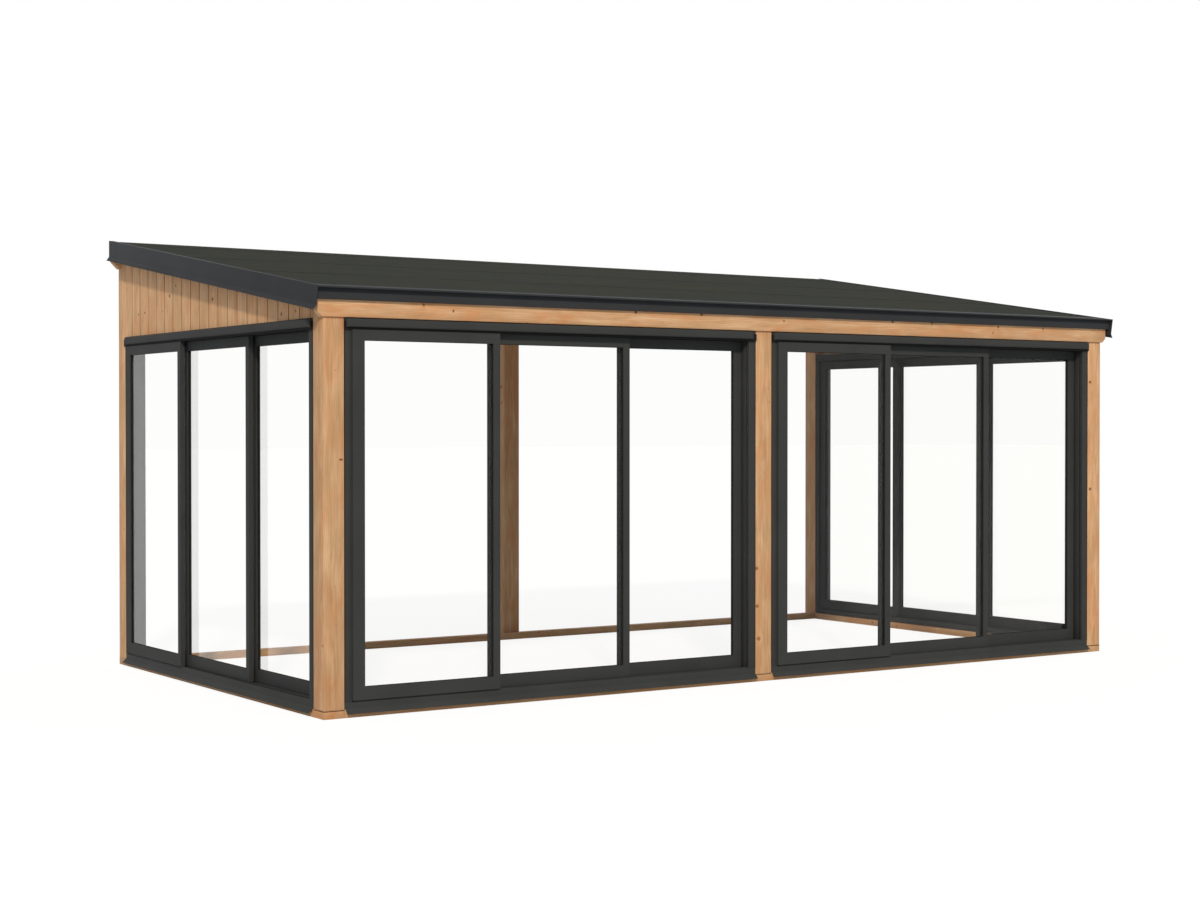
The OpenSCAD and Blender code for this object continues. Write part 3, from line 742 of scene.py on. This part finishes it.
def makeDoor(side, k):
    d = doorParts
    name = f"{side}_door_{k}"
    (u0, u1), (v0, v1), (z0, zTop) = spanIn(side, name + "_frame")
    z1 = zTop - d["finHigh"]
    mid = (v0 + v1) / 2
    left = d["jambStile"] if k == 1 else d["lapStile"]
    right = d["jambStile"] if k == 3 else d["lapStile"]
    place = inBay(side)
    g, bite, h = d["glassThick"] / 2, d["glassBite"], d["thick"] / 2
    bm = bmesh.new()

    # Stiles run the full height; each has a groove that holds the glass
    def stile(edge, width, sign):
        inner = edge + sign * width
        outline = [(edge, mid - h), (inner, mid - h), (inner, mid - g), (inner - sign * bite, mid - g),
                   (inner - sign * bite, mid + g), (inner, mid + g), (inner, mid + h), (edge, mid + h)]
        addPrism(bm, outline, place, z0, z1)

    stile(u0, left, 1)
    stile(u1, right, -1)

    # Rails fit between the stiles with a hairline joint
    def rail(edge, height, sign):
        inner = edge + sign * height
        outline = [(mid - h, edge), (mid - h, inner), (mid - g, inner), (mid - g, inner - sign * bite),
                   (mid + g, inner - sign * bite), (mid + g, inner), (mid + h, inner), (mid + h, edge)]
        addPrism(bm, outline, lambda a, b, t: place(t, a, b), u0 + left + d["hairline"],
                 u1 - right - d["hairline"])

    rail(z0, d["bottomRail"], 1)
    rail(z1, d["topRail"], -1)
    soften(bm, d["edge"], 2)
    fin = d["finThick"] / 2
    addBox(bm, place, (u0 + d["finInset"], mid - fin, z1 - 0.0005), (u1 - d["finInset"], mid + fin, zTop))
    markPieces(bm, 60 + k)
    metal = makePiece(name + "_profiles", bm, materials["doorMetal"], name)
    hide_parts(name + "_frame")

    # Rubber round the glass on both faces
    bm = bmesh.new()
    w = d["gasketWide"]
    a0, a1 = u0 + left, u1 - right
    b0, b1 = z0 + d["bottomRail"], z1 - d["topRail"]
    for near, far in ((mid - h + d["gasketBack"], mid - g), (mid + g, mid + h - d["gasketBack"])):
        addBox(bm, place, (a0, near, b0), (a0 + w, far, b1))
        addBox(bm, place, (a1 - w, near, b0), (a1, far, b1))
        addBox(bm, place, (a0 + w, near, b0), (a1 - w, far, b0 + w))
        addBox(bm, place, (a0 + w, near, b1 - w), (a1 - w, far, b1))
    rubber = makePiece(name + "_rubber", bm, materials["rubber"], name)

    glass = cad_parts[name + "_glass"]
    glass.data.materials.clear()
    glass.data.materials.append(materials["glass"])


headParts = {
    "high": 50 * mm,
    "coverOut": 28 * mm,
    # How far the cover stops short of the posts, at its left and right ends seen from outside
    "coverInsets": {"front_left": (8 * mm, 28 * mm), "front_right": (8 * mm, 8 * mm),
                    "left": (42 * mm, 8 * mm), "right": (8 * mm, 42 * mm)},
    "coverDrop": 5 * mm,
    "corner": 8 * mm,
    "capLong": 20 * mm,
    "capCorner": 16 * mm,  # radius of the cap's end, seen from above
    "wall": 8 * mm,
    "roof": 18 * mm,
    "divider": 6 * mm,
    "pitch": 45 * mm,
    "firstTrack": 1 * mm,  # middle of the outermost track, behind the wall's face
    "brushWide": 8 * mm,
    "brushClear": 1 * mm,
    "brushUnder": 10.5 * mm,  # how far the pile hangs below the head
}


def arc(centre, radius, startDeg, endDeg, steps):
    turns = [math.radians(startDeg + (endDeg - startDeg) * i / steps) for i in range(steps + 1)]
    return [(centre[0] + radius * math.cos(t), centre[1] + radius * math.sin(t)) for t in turns]


def addLoft(bm, outlines, place):
    # A solid through several outlines with the same number of points, each with its own t
    rings = [[bm.verts.new(place(a, b, t)) for a, b in outline] for outline, t in outlines]
    for near, far in zip(rings, rings[1:]):
        for i in range(len(near)):
            j = (i + 1) % len(near)
            bm.faces.new((near[i], near[j], far[j], far[i]))
    bm.faces.new(rings[0])
    bm.faces.new(rings[-1])


def makeHead(side):
    h = headParts
    (u0, u1), (v0, v1), (z0, z1) = spanIn(side, side + "_head")
    face = v0 + h["coverOut"]
    coverTop = z1 - h["coverDrop"]
    r = h["corner"]
    place = inBay(side)

    def across(a, b, t):
        # a inwards from the wall's face, b up, t along the wall
        return place(t, face + a, b)

    bm = bmesh.new()
    # The track section, with one channel for each door
    outline = [(0, z1), (v1 - face, z1), (v1 - face, z0)]
    under = z1 - h["roof"]
    for k in (3, 2, 1):
        middle = h["firstTrack"] + (k - 1) * h["pitch"]
        half = (h["pitch"] - h["divider"]) / 2
        far = v1 - face - h["divider"] if k == 3 else middle + half
        near = middle - half if k > 1 else 0.0
        outline += [(far, z0), (far, under), (near, under)] + ([(near, z0)] if k > 1 else [])
    addPrism(bm, outline, across, u0, u1)

    # The cover: a rounded shell in front, closed by a rounded cap at each end
    front = arc((r - h["coverOut"], coverTop - r), r, 90, 180, 4)
    front += arc((r - h["coverOut"], z0 + r), r, 180, 270, 4)
    shell = [(0.001, coverTop)] + front + [(h["wall"] - h["coverOut"], z0),
                                           (h["wall"] - h["coverOut"], under), (0.001, under)]
    insets = h["coverInsets"][side]
    start, end = u0 + insets[0], u1 - insets[1]
    addPrism(bm, shell, across, start + h["capLong"], end - h["capLong"])
    solid = [(0.001, coverTop)] + front + [(0.001, z0)]
    big = h["capCorner"]
    steps = [big * (1 - math.cos(math.radians(d))) for d in (0, 22, 45, 67, 90)] + [h["capLong"] - 0.0002]
    for edge, sign in ((start, 1), (end, -1)):
        loft = []
        for step in steps:
            short = big - math.sqrt(max(0.0, big ** 2 - max(0.0, big - step) ** 2))
            limit = short - h["coverOut"]
            loft.append(([(max(a, limit), b) for a, b in solid], edge + sign * step))
        addLoft(bm, loft, across)
    markPieces(bm, 71)
    head = makePiece("head_" + side, bm, materials["doorMetal"], "building")
    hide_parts(side + "_head")

    # Brush pile on both sides of each fin closes the gap over the doors
    bm = bmesh.new()
    for k in (1, 2, 3):
        middle = h["firstTrack"] + (k - 1) * h["pitch"]
        inner = doorParts["finThick"] / 2 + h["brushClear"]
        for sign in (-1, 1):
            b0, b1 = sorted((middle + sign * inner, middle + sign * (inner + h["brushWide"])))
            addBox(bm, place, (u0 + 0.001, face + b0, z0 - h["brushUnder"]),
                   (u1 - 0.001, face + b1, under - 0.001))
    brush = makePiece("brushes_" + side, bm, materials["rubber"], "building")


# Dark brown strips between the frame and the posts, which are painted shadow of the gap there, and strips
# beside the closed outermost door
seals = {
    "jointWide": 5 * mm,
    "jointProud": 0.4 * mm,
    "jointDeep": 8 * mm,
    "jambWide": 50.5 * mm,
    "jambFace": 38 * mm,  # where the rebate for the outermost door begins
    "lipWide": 4.5 * mm,
    "lipDepths": (-1 * mm, 12 * mm),
    "railHigh": 4.1 * mm,
    "sweepBack": 1.5 * mm,  # behind the door's face
    "sweepThick": 4 * mm,
    "sweepClear": 0.7 * mm,
}


def makeSeals(side):
    s = seals
    place = inBay(side)
    (u0, u1), (v0, _), (z0, z1) = spanIn(side, side + "_jambs")
    bm = bmesh.new()
    # Painted shadow: a dark brown strip at each end of the jambs stands in for the shaded gap against the post
    for a in (u0, u1 - s["jointWide"]):
        addBox(bm, place, (a, v0 - s["jointProud"], z0 + 0.001),
               (a + s["jointWide"], v0 + s["jointDeep"], z1 - 0.001))
    jointShadow = makePiece("jointShadow_" + side, bm, materials["jointShadow"], "building")
    bm = bmesh.new()
    a, (b0, b1) = u0 + s["jambFace"], s["lipDepths"]
    addBox(bm, place, (a, v0 + b0, z0 + 0.001),
           (a + s["lipWide"], v0 + b1, z1 - headParts["brushUnder"] - 0.001))
    # Draught strips on the sill close the gap under each door, the first on top of its rail
    for k in (1, 2, 3):
        _, (near, far), (foot, _) = spanIn(side, f"{side}_door_{k}_frame")
        b = (near + far) / 2 if k == 1 else near + s["sweepBack"]
        low = z0 + (s["railHigh"] if k == 1 else 0.0001)
        addBox(bm, place, (u0 + s["jambWide"], b, low),
               (u1 - s["jambWide"], b + s["sweepThick"], foot - s["sweepClear"]))
    markPieces(bm, 75)
    strips = makePiece("strips_" + side, bm, materials["doorMetal"], "building")


footJointShadow = {"high": 4 * mm, "under": 2 * mm, "proud": 0.4 * mm, "deep": 3 * mm}


def makeFootJointShadow():
    # A dark brown strip in the joint between each front post and the plate that it stands on: painted shadow
    # of that joint
    b = footJointShadow
    low, high = (Vector(c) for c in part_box("front_posts"))
    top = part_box("front_plate")[1][2] - b["under"]
    ends = [spanIn(side, side + "_jambs")[0] for side in ("front_left", "front_right")]
    bm = bmesh.new()
    for x0, x1 in ((low.x, ends[0][0]), (ends[0][1], ends[1][0]), (ends[1][1], high.x)):
        x0 -= b["proud"] if x0 == low.x else 0
        x1 += b["proud"] if x1 == high.x else 0
        y1 = high.y if x0 < low.x or x1 > high.x else low.y + b["deep"]
        addBox(bm, lambda a, c, t: Vector((a, c, t)), (x0, low.y - b["proud"], top - b["high"]), (x1, y1, top))
    jointShadow = makePiece("jointShadow_feet", bm, materials["jointShadow"], "building")


makeFootJointShadow()
for side in bays:
    makeHead(side)
    refine(side + "_sill", "sill_" + side, materials["doorMetal"], 0.8 * mm, seed=72)
    refine(side + "_jambs", "jambs_" + side, materials["doorMetal"], 0.8 * mm, seed=73)
    makeSeals(side)
    for k in (1, 2, 3):
        makeDoor(side, k)
print("doors made")


studio = {
    "floor": "#e2e2e0",
    "floorReach": 120,
    "floorGlow": 0.78,  # share of plain white in the floor as the camera sees it
    "floorWhite": 1.14,
    "sky": 0.47,
    "skyColor": "#f2faff",
    "sun": 2.0,
    "sunColor": "#fff0db",
    "sunSpreadDeg": 4,
    "sunSlope": (0.75, 1.3, -1.0),
}


def seenDirectly(tree, path):
    # 1 where the camera looks, also by way of a mirror or through glass
    first = add(tree, "Math", {"operation": "MAXIMUM"},
                {0: path.outputs["Is Camera Ray"], 1: path.outputs["Is Glossy Ray"]})
    both = add(tree, "Math", {"operation": "MAXIMUM"},
               {0: first.outputs[0], 1: path.outputs["Is Transmission Ray"]})
    return both.outputs[0]


def makeStudio():
    s = studio
    material, tree = newMaterial("pale floor")
    path = add(tree, "LightPath")
    share = add(tree, "Math", {"operation": "MULTIPLY", 1: s["floorGlow"]}, {0: seenDirectly(tree, path)})
    lit = add(tree, "BsdfPrincipled", {"Base Color": linear(s["floor"]), "Roughness": 0.9,
                                       "Specular IOR Level": 0.1})
    white = add(tree, "Emission", {"Color": (1, 1, 1, 1), "Strength": s["floorWhite"]})
    mix = add(tree, "MixShader", None, {0: share.outputs[0], 1: lit.outputs[0], 2: white.outputs[0]})
    finishSurface(tree, mix)
    reach = s["floorReach"]
    mesh = bpy.data.meshes.new("floor")
    mesh.from_pydata([(-reach, -reach, 0), (reach, -reach, 0), (reach, reach, 0), (-reach, reach, 0)],
                     [], [(0, 1, 2, 3)])
    mesh.materials.append(material)
    floor = bpy.data.objects.new("floor", mesh)
    bpy.context.collection.objects.link(floor)

    sun = bpy.data.lights.new("sun", "SUN")
    sun.energy = s["sun"]
    sun.color = linear(s["sunColor"])[:3]
    sun.angle = math.radians(s["sunSpreadDeg"])
    lamp = bpy.data.objects.new("sun", sun)
    lamp.rotation_euler = Vector(s["sunSlope"]).to_track_quat("-Z", "Y").to_euler()
    bpy.context.collection.objects.link(lamp)

    world = bpy.data.worlds.new("sky")
    bpy.context.scene.world = world
    world.use_nodes = True
    tree = world.node_tree
    tree.nodes.clear()
    path = add(tree, "LightPath")
    soft = add(tree, "Background", {"Color": linear(s["skyColor"]), "Strength": s["sky"]})
    white = add(tree, "Background", {"Color": (1, 1, 1, 1), "Strength": 1.0})
    mix = add(tree, "MixShader", None, {0: seenDirectly(tree, path), 1: soft.outputs[0], 2: white.outputs[0]})
    add(tree, "OutputWorld", None, {"Surface": mix.outputs[0]})


makeStudio()
bpy.context.scene.view_settings.view_transform = "Standard"
print("studio lit")
